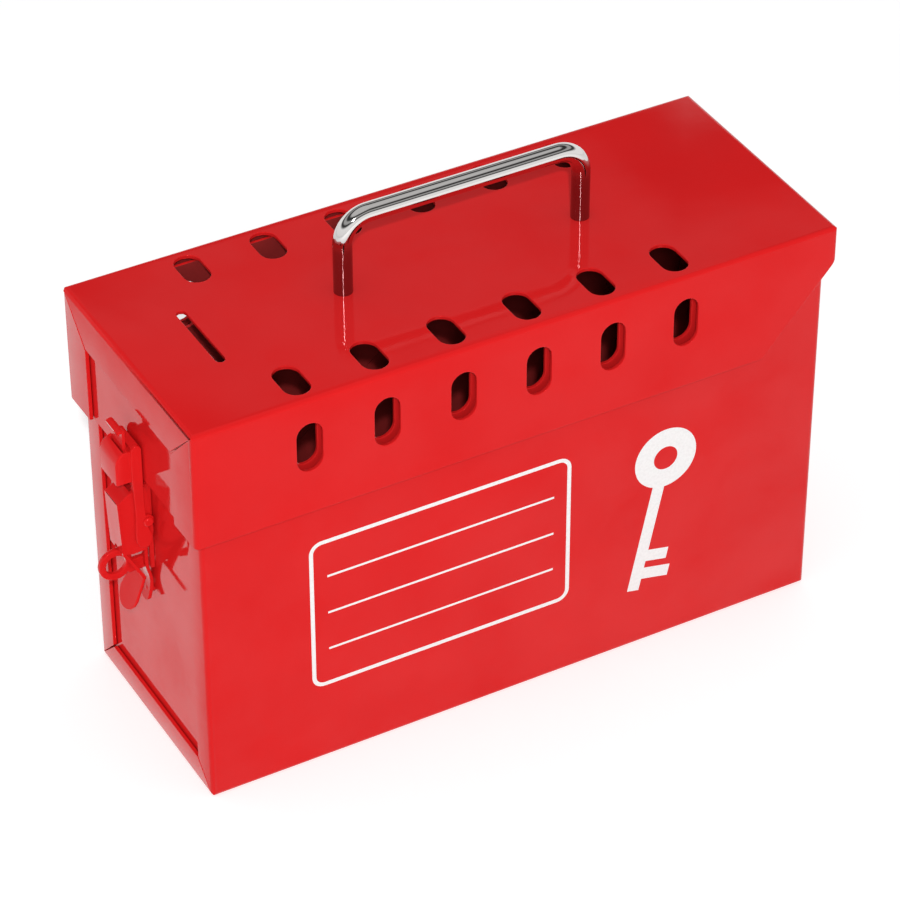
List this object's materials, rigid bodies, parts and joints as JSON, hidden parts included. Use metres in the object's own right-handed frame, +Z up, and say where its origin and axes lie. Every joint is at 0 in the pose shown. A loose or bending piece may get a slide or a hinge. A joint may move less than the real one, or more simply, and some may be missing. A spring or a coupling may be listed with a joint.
{
  "type": "lockout_box",
  "caption": "Red group lockout box of folded steel with a hinged slotted lid, key slot, chrome carrying handle and draw latch with padlock eye",
  "frame": {"origin": "centre of the underside of the box's footprint, the lid's length and width, on the surface it stands on", "axes": "+X along the length towards the hinge, so the latch is at the -X end; +Z up; +Y from the front long wall to the rear one"},
  "size_m": [0.2739, 0.102, 0.1994],
  "materials": {
    "red_gloss": "gloss",
    "chrome_rod": "polished",
    "zinc_steel": "satin"
  },
  "bodies": {
    "box_body": {"body_shell": "red_gloss", "body_latch_end": "red_gloss", "body_hinge_end": "red_gloss", "hinge_body_leaf": "red_gloss", "hinge_pin": "zinc_steel", "hinge_body_rivet_1": "red_gloss", "hinge_body_rivet_2": "red_gloss", "hinge_body_rivet_3": "red_gloss", "latch_base": "red_gloss", "latch_base_rivet_1": "red_gloss", "latch_base_rivet_2": "red_gloss", "padlock_eye": "red_gloss", "padlock_eye_rivet": "red_gloss", "lever_pivot_pin": "red_gloss"},
    "lid": {"lid_shell": "red_gloss", "lid_latch_end": "red_gloss", "hinge_lid_leaf": "red_gloss", "hinge_lid_rivet_1": "red_gloss", "hinge_lid_rivet_2": "red_gloss", "hinge_lid_rivet_3": "red_gloss", "handle": "chrome_rod", "handle_screw_1": "zinc_steel", "handle_screw_2": "zinc_steel", "handle_washer_1": "zinc_steel", "handle_washer_2": "zinc_steel", "keeper_hook": "red_gloss", "keeper_rivet_1": "red_gloss", "keeper_rivet_2": "red_gloss"},
    "latch_lever_body": {"latch_lever": "red_gloss", "link_pivot_pin": "red_gloss"},
    "latch_link_body": {"latch_link": "red_gloss"}
  },
  "joints": [
    {"name": "lid_hinge", "type": "hinge", "parent": "box_body", "child": "lid", "pos_m": [0.1277, 0, 0.1494], "axis": [0, 1, 0], "range_deg": [0, 165]},
    {"name": "lever_hinge", "type": "hinge", "parent": "box_body", "child": "latch_lever_body", "pos_m": [-0.1286, 0, 0.112], "axis": [0, 1, 0], "range_deg": [0, 100]},
    {"name": "link_hinge", "type": "hinge", "parent": "latch_lever_body", "child": "latch_link_body", "pos_m": [-0.1267, 0, 0.1], "axis": [0, 1, 0], "range_deg": [-74, 0]}
  ],
  "couplings": [
    {"joint": "link_hinge", "follows": "lever_hinge", "ratio": -0.74}
  ]
}
